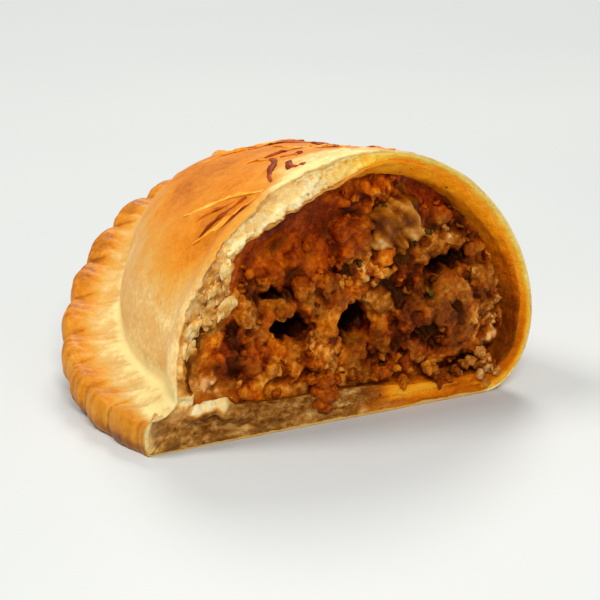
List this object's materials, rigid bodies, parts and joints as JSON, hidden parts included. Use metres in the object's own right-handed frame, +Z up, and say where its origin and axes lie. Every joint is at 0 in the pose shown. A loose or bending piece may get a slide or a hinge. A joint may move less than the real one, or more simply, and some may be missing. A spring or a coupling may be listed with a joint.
{
  "type": "half of a cut empanada with meatball filling",
  "caption": "Half of a baked half-moon empanada, cut across, with a pinched crimp, baked cheese shreds on its dome and a minced-meat filling at the cut.",
  "frame": {"origin": "middle of the box on the flat base that it rests on", "axes": "+X from the crimped edge to the fold along the cut, +Y from the cut face to the tip of the half-moon, +Z up"},
  "size_m": [0.07, 0.0642, 0.0412],
  "materials": {
    "baked_dough": "baked egg-washed dough, golden, satin",
    "meat_filling": "minced meatball in tomato sauce, moist and glossy"
  },
  "bodies": {
    "root": {"crust": "baked_dough", "filling": "meat_filling"}
  },
  "joints": []
}
